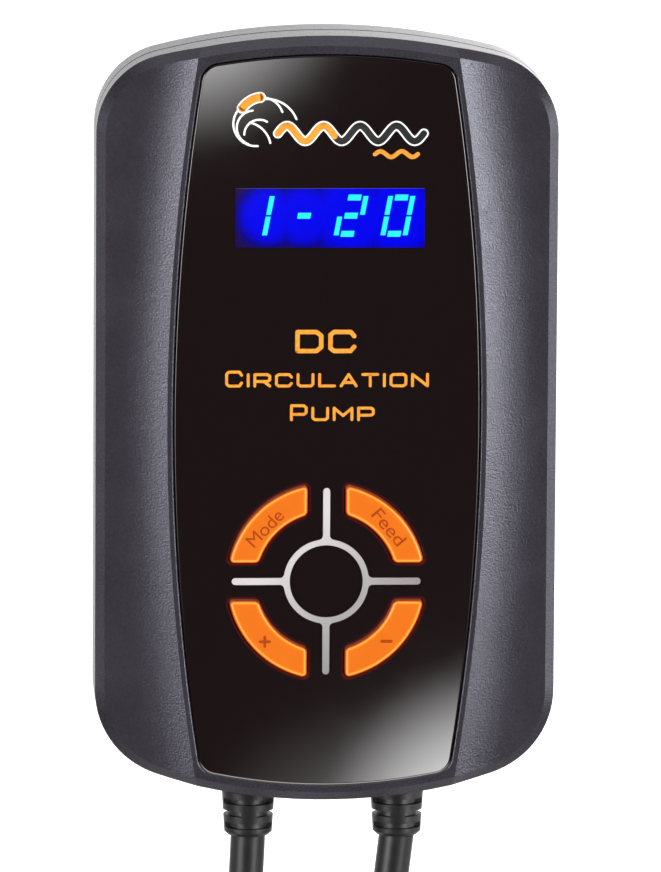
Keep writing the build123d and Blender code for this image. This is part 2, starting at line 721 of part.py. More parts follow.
def strain_relief(x):
    """Moulded rubber relief: inner flange, neck in the wall and a slotted, tapering tail."""
    low = RELIEF_END_Z
    height = RELIEF_SEAT_Z - low
    cone = Cone(RELIEF_END_R, RELIEF_TOP_R, height)
    tail = Pos(at_case(x, -PART_DEPTH, low + height / 2)) * cone
    tail = chamfer(tail.edges().group_by(Axis.Z)[0], 0.6)
    core = upright(RELIEF_CORE_R, x, PART_DEPTH, low, RELIEF_SEAT_Z)
    for slot in range(RELIEF_SLOTS):
        middle = low + RELIEF_TIP + slot * RELIEF_PITCH
        half = RELIEF_SLOT / 2
        ring = upright(RELIEF_TOP_R + 1, x, PART_DEPTH, middle - half, middle + half)
        bridge = Box(20, RELIEF_BRIDGE, 20) if slot % 2 == 0 else Box(RELIEF_BRIDGE, 20, 20)
        bridge = Pos(at_case(x, -PART_DEPTH, middle)) * bridge
        tail -= ring - bridge - core
    neck = upright(RELIEF_NECK_R, x, PART_DEPTH, RELIEF_SEAT_Z, RELIEF_BOSS_Z)
    flange_top = RELIEF_BOSS_Z + RELIEF_FLANGE
    flange = upright(RELIEF_FLANGE_R, x, PART_DEPTH, RELIEF_BOSS_Z, flange_top)
    return tail + neck + flange


def lead(name, route):
    """Round lead: straight runs joined by the largest arcs that the runs allow."""
    points = [at_case(*place) for place in route]
    radii = []
    for before, here, after in zip(points, points[1:], points[2:]):
        shorter = min((here - before).length, (after - here).length)
        half_turn = math.radians((here - before).get_angle(after - here) / 2)
        radii.append(BEND_SHARE * shorter / math.tan(half_turn))
    path = FilletPolyline(*points, radius=radii)
    section = Plane(origin=points[0], z_dir=points[1] - points[0]) * Circle(LEAD_R)
    tube = sweep(section, path=path)
    share = tube.volume / (math.pi * LEAD_R**2 * path.length)
    print(f"{name}: length {path.length:.1f}, volume over section x length {share:.4f}")
    print("  radii", [round(radius) for radius in radii])
    return tube


def grip_grooves(radius, x, depth, top):
    """Rings cut round a connector's grip."""
    rings = Part()
    half = GRIP_GROOVE / 2
    for groove in range(GRIP_GROOVES):
        middle = top - GRIP_START - groove * GRIP_PITCH
        rings += upright(radius + 1, x, depth, middle - half, middle + half)
    core = upright(radius - GRIP_GROOVE_DEPTH, x, depth, top - GRIP_GROOVES * GRIP_START, top)
    return rings - core


def pump_connector():
    """Three-way in-line connector: moulded grip with a round nose inside the coupling nut."""
    x, y, top = PUMP_ROUTE[-1]
    depth = -y
    grip_end = top - PUMP_GRIP_LENGTH
    collar_top = top - COLLAR_TOP
    collar_end = collar_top - COLLAR_HEIGHT
    grip = upright(PUMP_PLUG_R, x, depth, grip_end, top)
    grip = fillet(grip.edges().group_by(Axis.Z)[-1], 2.4)
    grip -= grip_grooves(PUMP_PLUG_R, x, depth, top)
    neck = upright(PUMP_PLUG_R - PLUG_NECK, x, depth, collar_top, grip_end)
    collar = upright(PUMP_PLUG_R - PLUG_COLLAR, x, depth, collar_end, collar_top)
    nose = upright(PUMP_PLUG_R - PLUG_NOSE, x, depth, top - PUMP_PLUG_LENGTH, collar_end)
    return grip + neck + collar + nose


def pump_pins():
    """Three contact pins in the nose of the pump connector."""
    x, y, top = PUMP_ROUTE[-1]
    end = top - PUMP_PLUG_LENGTH
    pins = Part()
    for way in range(3):
        angle = math.radians(90 + 120 * way)
        pin = Pos(PIN_AT * math.cos(angle), PIN_AT * math.sin(angle), 0)
        pin *= upright(PIN_R, x, -y, end - PIN_REACH, end)
        pins += fillet(pin.edges().group_by(Axis.Z)[0], 0.5)
    return pins


def coupling_nut():
    """Ribbed nut that turns on the connector's neck and is held by its collar."""
    x, y, top = PUMP_ROUTE[-1]
    depth = -y
    high = top - PUMP_GRIP_LENGTH - 0.5
    low = high - NUT_LENGTH
    neck_r = PUMP_PLUG_R - PLUG_NECK + NUT_CLEAR
    collar_r = PUMP_PLUG_R - PLUG_COLLAR + NUT_CLEAR
    nut = upright(NUT_R, x, depth, low, high)
    nut = chamfer(nut.edges().group_by(Axis.Z)[-1] + nut.edges().group_by(Axis.Z)[0], 0.6)
    nut -= upright(neck_r, x, depth, low - 1, high + 1)
    nut -= upright(collar_r, x, depth, low - 1, top - COLLAR_TOP + NUT_CLEAR)
    turn = Axis(at_case(x, y, 0), (0, 0, 1))
    groove = Box(RIB_GROOVE, RIB_GROOVE, NUT_LENGTH - 3)
    groove = Pos(at_case(x + NUT_R, y, (low + high) / 2)) * groove
    for rib in range(NUT_RIBS):
        nut -= groove.rotate(turn, rib * 360 / NUT_RIBS)
    return nut


def supply_connector():
    """In-line socket for the power supply's round plug, with a ribbed grip."""
    x, y, top = SUPPLY_ROUTE[-1]
    depth = -y
    low = top - SOCKET_LENGTH
    body = upright(SOCKET_R, x, depth, low, top)
    body = fillet(body.edges().group_by(Axis.Z)[-1], 1.8)
    body = chamfer(body.edges().group_by(Axis.Z)[0], 0.5)
    body -= grip_grooves(SOCKET_R, x, depth, top)
    return body - upright(SOCKET_BORE_R, x, depth, low - 1, low + SOCKET_BORE_DEPTH)


def supply_contacts():
    """Metal sleeve and centre pin of the supply socket."""
    x, y, top = SUPPLY_ROUTE[-1]
    depth = -y
    low = top - SOCKET_LENGTH
    deep = low + SOCKET_BORE_DEPTH
    sleeve = upright(SOCKET_BORE_R, x, depth, low + 0.6, deep)
    sleeve -= upright(SOCKET_BORE_R - SLEEVE_WALL, x, depth, low, deep - 0.5)
    pin = upright(CENTRE_PIN_R, x, depth, low + 1.2, deep - 0.4)
    pin = fillet(pin.edges().group_by(Axis.Z)[0], 0.6)
    return sleeve + pin


def save(name, shape):
    """Write one sub-part under its node's name."""
    shape.label = name
    export_step(shape, f"parts/{name}.step")


def build_all():
    os.makedirs("parts", exist_ok=True)
    save("front_cover", front_cover())
    save("rear_cover", rear_cover())
    save("cover_seal", cover_seal())
    save("front_panel", front_panel())
    save("panel_adhesive", panel_adhesive())
    save("display_window", display_window())
    save("display_module", display_module())
    save("key_ring", key_ring())
    for quadrant, name in enumerate(KEY_NAMES):
        save(f"{name}_key", key(quadrant))
        save(f"{name}_switch_tip", switch_tip(quadrant))
    save("key_switches", key_switches())
    save("key_lights", key_lights())
    save("keypad_mat", keypad_mat())
    save("display_board", display_board())
    save("power_board", power_board())
    save("board_header", board_header())
    save("microcontroller", microcontroller())
    save("power_transistors", power_transistors())
    save("smoothing_capacitors", smoothing_capacitors())
    save("power_inductor", power_inductor())
    save("lead_terminals", lead_terminals())
    save("pump_wires", inner_wires(PUMP_LEAD_X, 3))
    save("supply_wires", inner_wires(SUPPLY_LEAD_X, 2))
    save("display_board_screws", display_board_screws())
    save("power_board_screws", power_board_screws())
    save("cover_screws", cover_screws())
    save("pump_strain_relief", strain_relief(PUMP_LEAD_X))
    save("supply_strain_relief", strain_relief(SUPPLY_LEAD_X))
    save("pump_lead", lead("pump_lead", PUMP_ROUTE))
    save("supply_lead", lead("supply_lead", SUPPLY_ROUTE))
    save("pump_connector", pump_connector())
    save("pump_coupling_nut", coupling_nut())
    save("pump_pins", pump_pins())
    save("supply_connector", supply_connector())
    save("supply_contacts", supply_contacts())


build_all()
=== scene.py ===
# %% [markdown]
# # The controller of an aquarium pump
#
# The real object is a small control box that hangs on the wall beside a tank: two
# charcoal plastic covers, a glossy black panel with a blue display, four orange keys
# round a silver ring, and two short leads. Its shape, sizes and joints come from a
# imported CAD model. This lesson adds what CAD leaves out: finishes, print, lit
# digits, soft leads and studio light. Everything is in metres, with +Z up and the
# front of the case facing -Y.

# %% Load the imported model
import math

import bmesh
import bpy
from mathutils import Matrix, Vector


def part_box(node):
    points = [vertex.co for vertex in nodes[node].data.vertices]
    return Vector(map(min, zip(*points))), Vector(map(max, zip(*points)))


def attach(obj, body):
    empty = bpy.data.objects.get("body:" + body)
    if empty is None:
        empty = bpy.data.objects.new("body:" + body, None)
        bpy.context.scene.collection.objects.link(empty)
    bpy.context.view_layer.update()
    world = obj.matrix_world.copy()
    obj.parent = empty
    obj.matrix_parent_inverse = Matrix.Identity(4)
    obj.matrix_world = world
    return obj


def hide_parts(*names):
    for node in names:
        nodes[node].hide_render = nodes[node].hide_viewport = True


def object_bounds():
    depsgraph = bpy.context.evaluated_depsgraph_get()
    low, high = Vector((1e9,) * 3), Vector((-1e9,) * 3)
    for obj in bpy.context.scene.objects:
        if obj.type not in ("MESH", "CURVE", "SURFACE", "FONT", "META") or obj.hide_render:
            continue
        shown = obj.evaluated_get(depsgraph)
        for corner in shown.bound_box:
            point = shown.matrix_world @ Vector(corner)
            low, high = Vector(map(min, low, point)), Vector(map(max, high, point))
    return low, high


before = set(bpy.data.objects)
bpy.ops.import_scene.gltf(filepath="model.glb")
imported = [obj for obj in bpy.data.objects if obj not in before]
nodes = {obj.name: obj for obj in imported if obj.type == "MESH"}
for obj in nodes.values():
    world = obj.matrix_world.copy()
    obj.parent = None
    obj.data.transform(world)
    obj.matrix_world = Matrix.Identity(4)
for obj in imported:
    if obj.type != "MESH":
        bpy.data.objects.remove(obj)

cad_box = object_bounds()
scene = bpy.context.scene
MM = 0.001
print("CAD box:", [[round(value / MM, 1) for value in corner] for corner in cad_box])

# %% [markdown]
# ## Places to measure from
#
# Every new piece is placed from the CAD model: the case gives the centre line, and the
# panel, the window, the keys and the silver ring give their own places. When one of
# them moves in CAD, the looks move with it.

# %% Named places on the case
CASE_LOW, CASE_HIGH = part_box("front_cover")
CENTRE_Z = (CASE_LOW.z + CASE_HIGH.z) / 2
PANEL_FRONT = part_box("front_panel")[0].y
WINDOW_LOW, WINDOW_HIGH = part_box("display_window")
WINDOW_FRONT = WINDOW_LOW.y
RING_LOW, RING_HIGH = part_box("key_ring")
RING_CENTRE = (RING_LOW + RING_HIGH) / 2
KEY_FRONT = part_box("mode_key")[0].y
print(f"case centre z {CENTRE_Z / MM:.1f} mm, panel front y {PANEL_FRONT / MM:.2f} mm")

# %% [markdown]
# ## Camera
#
# A long lens from nearly two metres away keeps the sides of a box this size almost
# parallel. It stands a little above the middle and to the left. Its focal length
# follows from the distance and the height of the frame at the front face.

# %% A long lens nearly two metres away
CAMERA_DISTANCE = 1.8
CAMERA_ABOVE = math.radians(9.0)
CAMERA_LEFT = math.radians(3.0)
CAMERA_ROLL = math.radians(0.35)
FRAME_HEIGHT = 0.1510
SENSOR = 36.0
FARTHEST_SEEN = 50
AIM_RIGHT, AIM_BELOW = 0.0006, 0.0026
AIM = Vector((AIM_RIGHT, PANEL_FRONT, CENTRE_Z - AIM_BELOW))

camera_data = bpy.data.cameras.new("studio_camera")
camera_data.sensor_width = SENSOR
camera_data.lens = SENSOR * CAMERA_DISTANCE / FRAME_HEIGHT
camera_data.clip_end = FARTHEST_SEEN
camera = bpy.data.objects.new("studio_camera", camera_data)
offset = Vector((
    -math.sin(CAMERA_LEFT) * math.cos(CAMERA_ABOVE),
    -math.cos(CAMERA_LEFT) * math.cos(CAMERA_ABOVE),
    math.sin(CAMERA_ABOVE),
))
camera.location = AIM + CAMERA_DISTANCE * offset
facing = (-offset).to_track_quat("-Z", "Y").to_matrix()
camera.rotation_euler = (facing @ Matrix.Rotation(CAMERA_ROLL, 3, "Z")).to_euler()
scene.collection.objects.link(camera)
scene.camera = camera
print(f"lens {camera_data.lens:.0f} mm")

# %% [markdown]
# ## The two leads
#
# A lead is a fixed length of something flexible. Each one leaves its strain relief
# straight down and hangs under its own weight, with the slight bends that packing
# left in it. A NURBS curve of order 3 gives one smooth line through a few listed
# control points, and a round bevel makes it a tube. The bevel has radius 1 and every
# point scales it to the lead's radius, so that the curve's box is the lead's own box.
# The order and the end points are set after the points, or Blender keeps straight runs.

# %% Routes of the leads
LEAD_DIAMETER = 0.0061
ROUND_STEPS = 8
LENGTH_STEPS = 24
PUMP_ROUTE = [
    (-0.0129, -0.0155, -0.0747), (-0.0138, -0.0153, -0.0970),
    (-0.0170, -0.0140, -0.1350), (-0.0186, -0.0126, -0.1800),
    (-0.0156, -0.0120, -0.2240), (-0.0156, -0.0120, -0.2620),
]
SUPPLY_ROUTE = [
    (0.01315, -0.0155, -0.0747), (0.0107, -0.0152, -0.0950),
    (0.0088, -0.0136, -0.1280), (0.0108, -0.0124, -0.1680),
    (0.0174, -0.0120, -0.2120), (0.0174, -0.0120, -0.2490),
]


def make_lead(name, route):
    """A round lead along one open NURBS line, given from the case's centre."""
    curve = bpy.data.curves.new(name, "CURVE")
    curve.dimensions = "3D"
    curve.bevel_depth = 1.0
    curve.bevel_resolution = ROUND_STEPS
    curve.resolution_u = LENGTH_STEPS
    curve.use_fill_caps = True
    spline = curve.splines.new("NURBS")
    spline.points.add(len(route) - 1)
    for point, (x, y, z) in zip(spline.points, route):
        point.co = (x, y, z + CENTRE_Z, 1)
        point.radius = LEAD_DIAMETER / 2
    spline.order_u = 3
    spline.use_endpoint_u = True
    lead = bpy.data.objects.new(name, curve)
    scene.collection.objects.link(lead)
    return lead


pump_lead = make_lead("pump_lead_jacket", PUMP_ROUTE)
supply_lead = make_lead("supply_lead_jacket", SUPPLY_ROUTE)
LEAD_SETS = (
    (pump_lead, "pump_lead", PUMP_ROUTE, 0.1876,
     ("pump_connector", "pump_coupling_nut", "pump_pins")),
    (supply_lead, "supply_lead", SUPPLY_ROUTE, 0.1750,
     ("supply_connector", "supply_contacts")),
)
for lead, node, route, length, far_pieces in LEAD_SETS:
    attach(lead, "root")
    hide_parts(node)
    x, y, z = route[0]
    print(lead.name, "declared at", length, "m")

# %% [markdown]
# ## Tools for materials
#
# Colours are written as sRGB hex values, as in a paint chart, and turned to the linear
# values that a shader needs. Every node is added by one function: a socket is given a
# number, a colour, or another node's output. Short functions on top of it do the sums.


# %% Colour and node helpers
def srgb(code):
    """An sRGB hex colour as linear red, green, blue and alpha."""
    channels = [int(code[place:place + 2], 16) / 255 for place in (1, 3, 5)]
    linear = [c / 12.92 if c <= 0.04045 else ((c + 0.055) / 1.055) ** 2.4
              for c in channels]
    return (*linear, 1.0)


def add(tree, kind, sockets=None, **settings):
    """Add one node, set its settings, and fill or link its sockets."""
    node = tree.nodes.new(kind)
    for name, value in settings.items():
        setattr(node, name, value)
    for name, value in (sockets or {}).items():
        if isinstance(value, bpy.types.NodeSocket):
            tree.links.new(value, node.inputs[name])
        else:
            node.inputs[name].default_value = value
    return node


def new_material(name, shader_sockets):
    """A material with a Principled shader; shader_sockets(tree) gives its sockets."""
    material = bpy.data.materials.new(name)
    material.use_nodes = True
    tree = material.node_tree
    tree.nodes.clear()
    shader = add(tree, "ShaderNodeBsdfPrincipled", shader_sockets(tree))
    add(tree, "ShaderNodeOutputMaterial", {"Surface": shader.outputs["BSDF"]})
    return material


def ramp(tree, factor, stops):
    """Colour of a factor between named stops, each (position, hex colour)."""
    node = add(tree, "ShaderNodeValToRGB", {"Fac": factor})
    elements = node.color_ramp.elements
    elements[0].position, elements[0].color = stops[0][0], srgb(stops[0][1])
    elements[1].position, elements[1].color = stops[-1][0], srgb(stops[-1][1])
    for position, code in stops[1:-1]:
        elements.new(position).color = srgb(code)
    return node.outputs["Color"]


def own_place(tree):
    """Where a point is, in the object's own metres."""
    return add(tree, "ShaderNodeTexCoord").outputs["Object"]


def object_noise(tree, size, detail=2.0, roughness=0.5):
    """Noise on object coordinates whose features are about size metres across."""
    return add(tree, "ShaderNodeTexNoise", {
        "Vector": own_place(tree), "Scale": 1 / size,
        "Detail": detail, "Roughness": roughness}).outputs["Fac"]


def bumped(tree, height, depth, strength=1.0):
    """A surface direction that follows a height of so many metres."""
    return add(tree, "ShaderNodeBump", {
        "Height": height, "Distance": depth, "Strength": strength}).outputs["Normal"]


def calculate(tree, operation, first, second=0.0):
    """One step of arithmetic on numbers or sockets."""
    sockets = {0: first, 1: second}
    return add(tree, "ShaderNodeMath", sockets, operation=operation).outputs[0]


def parts_of(tree, vector):
    """The X, Y and Z of a vector."""
    return add(tree, "ShaderNodeSeparateXYZ", {"Vector": vector}).outputs


def flat_length(tree, x, y):
    """Length of a flat vector."""
    vector = add(tree, "ShaderNodeCombineXYZ", {"X": x, "Y": y}).outputs[0]
    length = add(tree, "ShaderNodeVectorMath", {0: vector}, operation="LENGTH")
    return length.outputs["Value"]


def apart(tree, first, second):
    """Straight distance between two places or directions."""
    sockets = {0: first, 1: second}
    distance = add(tree, "ShaderNodeVectorMath", sockets, operation="DISTANCE")
    return distance.outputs["Value"]


def rescale(tree, value, low, high, to_low=0.0, to_high=1.0, kind="LINEAR"):
    """A value from low to high, brought to run from to_low to to_high."""
    return add(tree, "ShaderNodeMapRange", {
        "Value": value, "From Min": low, "From Max": high,
        "To Min": to_low, "To Max": to_high}, interpolation_type=kind).outputs["Result"]


def between(tree, value, low, high, to_high=1.0):
    """0 where a value is at low, to_high where it is at high, smooth between them."""
    return rescale(tree, value, low, high, to_high=to_high, kind="SMOOTHSTEP")


def speckled(tree, size, dark, light, detail=2.0):
    """A colour that wanders between two, in patches of about one size."""
    cloud = object_noise(tree, size, detail=detail)
    return ramp(tree, cloud, [(0.3, dark), (0.7, light)])


def paint(node, material):
    """Give a CAD node a material in every slot."""
    for material_slot in nodes[node].material_slots:
        material_slot.material = material


# %% [markdown]
# ## Case: charcoal ABS with a spark-eroded texture
#
# Both covers are injection-moulded ABS. The mould is etched, which leaves a fine,
# even grain on the plastic: it breaks up highlights and makes them wide and soft. A
# bump and a slight change of gloss follow the same noise. The real grain is about
# 0.2 mm. It is drawn at 0.31 mm so that it shows from two metres away.

# %% Moulded case plastic
GRAIN_SIZE = 0.31 * MM
GRAIN_DEPTH = 0.058 * MM
SHADE_SIZE = 9 * MM
CASE_ROUGHNESS = 0.28
ROUGHNESS_CHANGE = 0.06


def moulded_abs(tree):
    pits = object_noise(tree, GRAIN_SIZE, detail=3.0, roughness=0.65)
    return {
        "Base Color": speckled(tree, SHADE_SIZE, "#221F25", "#28252B", detail=3.0),
        "Roughness": rescale(
            tree, pits, 0.3, 0.7,
            CASE_ROUGHNESS - ROUGHNESS_CHANGE, CASE_ROUGHNESS + ROUGHNESS_CHANGE),
        "IOR": 1.53, "Specular Tint": srgb("#EDEEFF"),
        "Normal": bumped(tree, pits, GRAIN_DEPTH)}


etched_abs = new_material("etched charcoal ABS", moulded_abs)
paint("front_cover", etched_abs)
paint("rear_cover", etched_abs)

# %% [markdown]
# ## Panel, window and silver ring
#
# The panel is clear acrylic printed black on its back, so it shows a hard, mirror-like
# gloss over black. Some light escapes round the keys; it fades with distance from their
# outline, which is worked out from their sizes. Along the lower edge, a pale emission is
# a painted reflection. The ring is a silver trim with a satin face; a painted reflection
# makes it lighter towards the upper left.

# %% Panel and ring finishes
# The keys' sizes, repeated from the CAD model.
KEY_OUTER_R = 17.3 * MM
KEY_INNER_R = 12.1 * MM
KEY_SIDE = 3.25 * MM
KEY_CORNER_R = 0.9 * MM
GLOW_REACH, GLOW_FULL = 0.75 * MM, 0.1 * MM
# The lower edge gets a painted reflection where the surface turns down: Z of its
# direction.
EDGE_TURNS, EDGE_TURNED = -0.15, -0.5
EDGE_REFLECTION = 0.6
# Ends of the ring's painted reflection, along a line from the lower right to the upper
# left.
RING_REFLECTION_DARK_END, RING_REFLECTION_LIGHT_END = -17 * MM, 12 * MM


def from_key_outline(tree):
    """Distance outwards from the nearest key's outline; negative inside the key."""
    sockets = {0: own_place(tree), 1: (RING_CENTRE.x, 0, RING_CENTRE.z)}
    centred = add(tree, "ShaderNodeVectorMath", sockets, operation="SUBTRACT")
    split = parts_of(tree, centred.outputs[0])
    radius = flat_length(tree, split["X"], split["Z"])
    outside = calculate(tree, "SUBTRACT", radius, KEY_OUTER_R - KEY_CORNER_R)
    inside = calculate(tree, "SUBTRACT", KEY_INNER_R + KEY_CORNER_R, radius)
    side_x, side_z = (
        calculate(tree, "SUBTRACT", KEY_SIDE + KEY_CORNER_R,
                  calculate(tree, "ABSOLUTE", split[axis])) for axis in ("X", "Z"))
    # Past a rounded corner both measures are positive, and their length is the distance.
    across = calculate(tree, "MAXIMUM", calculate(tree, "MAXIMUM", outside, inside))
    along = calculate(tree, "MAXIMUM", calculate(tree, "MAXIMUM", side_x, side_z))
    return calculate(tree, "SUBTRACT", flat_length(tree, across, along), KEY_CORNER_R)


def black_gloss(tree):
    haze = object_noise(tree, 4.0 * MM, detail=4.0)
    facing = add(tree, "ShaderNodeTexCoord").outputs["Normal"]
    # Painted reflection: a pale emission where the surface turns down, standing in for
    # light mirrored from below.
    lower_edge_reflection = between(tree, parts_of(tree, facing)["Z"], EDGE_TURNS, EDGE_TURNED)
    key_light = between(tree, from_key_outline(tree), GLOW_REACH, GLOW_FULL)
    painted_edge_reflection = calculate(tree, "MULTIPLY", lower_edge_reflection, EDGE_REFLECTION)
    glow_and_reflection_colour = ramp(tree, lower_edge_reflection, [(0.0, "#561003"), (1.0, "#D8D8D4")])
    return {"Base Color": srgb("#120B0C"), "IOR": 1.49,
            "Roughness": rescale(tree, haze, 0.0, 1.0, 0.015, 0.03),
            "Emission Color": glow_and_reflection_colour,
            "Emission Strength": calculate(tree, "MAXIMUM", key_light, painted_edge_reflection)}


def satin_silver(tree):
    centred = add(tree, "ShaderNodeMapping", {
        "Vector": own_place(tree), "Location": (-RING_CENTRE.x, 0, -RING_CENTRE.z)})
    split = parts_of(tree, centred.outputs["Vector"])
    # Painted reflection: the silver turns lighter towards the upper left.
    across = calculate(tree, "SUBTRACT", split["Z"], split["X"])
    painted_reflection_fade = rescale(tree, across, RING_REFLECTION_DARK_END, RING_REFLECTION_LIGHT_END)
    silver = ramp(tree, painted_reflection_fade, [(0.0, "#8A8688"), (0.5, "#A8A3A4"), (1.0, "#C6C1C1")])
    sparkle = object_noise(tree, 0.5 * MM, detail=2.0)
    return {
        "Base Color": silver, "Metallic": 0.35, "Roughness": 0.38,
        "Normal": bumped(tree, sparkle, 0.01 * MM, strength=0.6)}


printed_acrylic = new_material("back-printed acrylic", black_gloss)
silver_trim = new_material("satin silver trim", satin_silver)
paint("front_panel", printed_acrylic)
paint("key_ring", silver_trim)

# %% [markdown]
# ## Lit display
#
# Behind the window is a four-digit module. A blue filter spreads its light, so the
# whole window glows, more round the lit digits and less at the empty left end. The
# glow is an emission that fades with distance from the digits; the digits themselves
# are thin pieces in a paler, greenish blue.

# %% Digit places and the window's glow
DIGIT_PITCH = 8.1 * MM
DIGITS_LEFT, DIGITS_UP = 0.43 * MM, 0.4 * MM
DIGIT_CENTRE_X = (WINDOW_LOW.x + WINDOW_HIGH.x) / 2 - DIGITS_LEFT
DIGIT_CENTRE_Z = (WINDOW_LOW.z + WINDOW_HIGH.z) / 2 + DIGITS_UP
DIGITS_X = [DIGIT_CENTRE_X + (place - 1.5) * DIGIT_PITCH for place in range(4)]
# How far each figure's light is moved to the right, and how far it reaches.
GLOWS = ((1.9 * MM, 6.8 * MM), (0, 7.0 * MM), (0, 9.4 * MM), (0, 9.8 * MM))
# It is full within this share of its reach.
GLOW_FULL_AT = 0.45
UNEVENNESS = 0.12
WINDOW_EDGE_OUT, WINDOW_EDGE_IN = 0.3 * MM, 0.7 * MM


def lit_window(tree):
    place = own_place(tree)
    glow = 0.0
    for x, (right, reach) in zip(DIGITS_X, GLOWS):
        away = apart(tree, place, (x + right, WINDOW_FRONT, DIGIT_CENTRE_Z))
        near = between(tree, away, reach, reach * GLOW_FULL_AT)
        glow = calculate(tree, "MAXIMUM", glow, near)
    cloud = object_noise(tree, 2.5 * MM, detail=2.0)
    uneven = rescale(tree, cloud, 0.0, 1.0, 1 - UNEVENNESS, 1 + UNEVENNESS)
    glow = calculate(tree, "MULTIPLY", glow, uneven)
    split = parts_of(tree, place)
    for axis in (0, 2):
        middle = (WINDOW_LOW[axis] + WINDOW_HIGH[axis]) / 2
        half = (WINDOW_HIGH[axis] - WINDOW_LOW[axis]) / 2
        from_middle = calculate(
            tree, "ABSOLUTE", calculate(tree, "SUBTRACT", split[axis], middle))
        inside = between(tree, from_middle, half + WINDOW_EDGE_OUT, half - WINDOW_EDGE_IN)
        glow = calculate(tree, "MULTIPLY", glow, inside)
    colour = ramp(tree, glow, [
        (0.0, "#1C0850"), (0.3, "#080088"), (0.65, "#0200C8"), (1.0, "#0000F0")])
    return {"Base Color": srgb("#02020C"), "Roughness": 0.06, "IOR": 1.2,
            "Emission Color": colour, "Emission Strength": 1.0}


paint("display_window", new_material("blue filter, lit", lit_window))
print("digit centres x (mm):", [round(x / MM, 2) for x in DIGITS_X])

# %% [markdown]
# A digit has seven bars. Each bar is a slanted box, which starts as a unit cube and
# is scaled, sheared and moved by bmesh operators. A table of the bars that each
# figure lights gives the number on the display.

# %% Seven-bar digits
BAR_LENGTH = 2.25 * MM
BAR_RISE = 3.25 * MM
BAR_WIDTH = 0.85 * MM
BAR_HEIGHT = 1.02 * MM
BAR_THICK = 0.03 * MM
BAR_CLEAR = 0.005 * MM
DIGIT_REACH_X = 1.92 * MM
DIGIT_REACH_Z = 3.16 * MM
UPRIGHT_AT_Z = 1.79 * MM
SLANT = math.tan(math.radians(10.8))
BARS = {
    # bar: side, level, and whether it lies flat
    "top": (0, 1, True), "middle": (0, 0, True), "bottom": (0, -1, True),
    "upper left": (-1, 1, False), "upper right": (1, 1, False),
    "lower left": (-1, -1, False), "lower right": (1, -1, False),
}
FIGURES = {
    "1": ("upper right", "lower right"),
    "-": ("middle",),
    "2": ("top", "upper right", "middle", "lower left", "bottom"),
    "0": ("top", "upper left", "upper right", "lower left", "lower right", "bottom"),
}
DISPLAY_READS = "1-20"


def finish_mesh(name, bm, body, material):
    """Make a piece from a bmesh, and let it ride on a body."""
    mesh = bpy.data.meshes.new(name)
    bm.to_mesh(mesh)
    bm.free()
    piece = bpy.data.objects.new(name, mesh)
    mesh.materials.append(material)
    scene.collection.objects.link(piece)
    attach(piece, body)


def add_bar(bm, centre_x, bar):
    """One bar of a digit, on the front of the window."""
    side, level, flat = BARS[bar]
    across, up = (BAR_LENGTH, BAR_HEIGHT) if flat else (BAR_WIDTH, BAR_RISE)
    verts = bmesh.ops.create_cube(bm, size=1)["verts"]
    bmesh.ops.scale(bm, vec=(across, BAR_THICK, up), verts=verts)
    reach_z = DIGIT_REACH_Z if flat else UPRIGHT_AT_Z
    bmesh.ops.translate(bm, vec=(side * DIGIT_REACH_X, 0, level * reach_z), verts=verts)
    shear = Matrix.Shear("XY", 4, (0, 0))
    shear[0][2] = SLANT
    bmesh.ops.transform(bm, matrix=shear, verts=verts)
    y = WINDOW_FRONT - BAR_THICK / 2 - BAR_CLEAR
    bmesh.ops.translate(bm, vec=(centre_x, y, DIGIT_CENTRE_Z), verts=verts)


def cyan_light(tree):
    return {"Base Color": srgb("#0A6E86"), "Roughness": 0.3,
            "Emission Color": srgb("#00E4FF"), "Emission Strength": 1.0}


lit_digits = bmesh.new()
for figure, centre_x in zip(DISPLAY_READS, DIGITS_X):
    for bar in FIGURES[figure]:
        add_bar(lit_digits, centre_x, bar)
cyan = new_material("lit digit bars", cyan_light)
finish_mesh("display_digits", lit_digits, "root", cyan)

# %% [markdown]
# ## Keys: translucent orange, lit from behind
#
# The keys are moulded in a milky orange plastic over amber lights, which make them glow.
# A lighter band along the rounded edge, in both the colour and the glow, is a painted
# highlight; past it both turn darker and redder towards the outline and the gap round
# the key. Both follow the distance from the key's outline, which a little noise makes
# uneven.

# %% Key plastic
KEY_UNEVEN = 0.05 * MM


def lit_orange_painted_edge(tree):
    cloud = object_noise(tree, 3 * MM, detail=3.0)
    uneven = rescale(tree, cloud, 0.0, 1.0, -KEY_UNEVEN, KEY_UNEVEN)
    away = calculate(tree, "ADD", from_key_outline(tree), uneven)
    # Across the rounded edge: the lighter band near its middle is a painted highlight.
    edge = rescale(tree, away, -KEY_CORNER_R, 0.0)
    colour = ramp(tree, edge, [
        (0.0, "#AC5200"), (0.25, "#B25600"), (0.52, "#F08E34"),
        (0.7, "#C85206"), (0.95, "#6E1E00")])
    light = ramp(tree, edge, [
        (0.0, "#C45800"), (0.5, "#F8943C"), (0.75, "#C84A00"), (1.0, "#400A00")])
    return {"Base Color": colour, "Roughness": 0.34, "IOR": 1.3,
            "Emission Color": light, "Emission Strength": 0.3}


key_plastic = new_material("translucent orange ABS", lit_orange_painted_edge)
KEY_BODIES = {key: f"{key}_button" for key in ("mode", "feed", "plus", "minus")}
for key in KEY_BODIES:
    paint(f"{key}_key", key_plastic)

# %% [markdown]
# ## Words on the keys
#
# Text objects become meshes, so that each one can be brought to an exact width and
# height. The words are thin films, darker than the key, and ride on it.

# %% Mode and Feed
FILM = 0.03 * MM
SAME_POINT = 0.001 * MM
KEYS_Z = RING_CENTRE.z - CENTRE_Z
LEGENDS = (
    # key, word, centre from the ring's centre, width, height (mm), turn (degrees)
    ("mode", "Mode", (-10.7, 9.5), 7.6, 2.3, 46),
    ("feed", "Feed", (10.8, 9.6), 7.2, 2.3, -50),
)


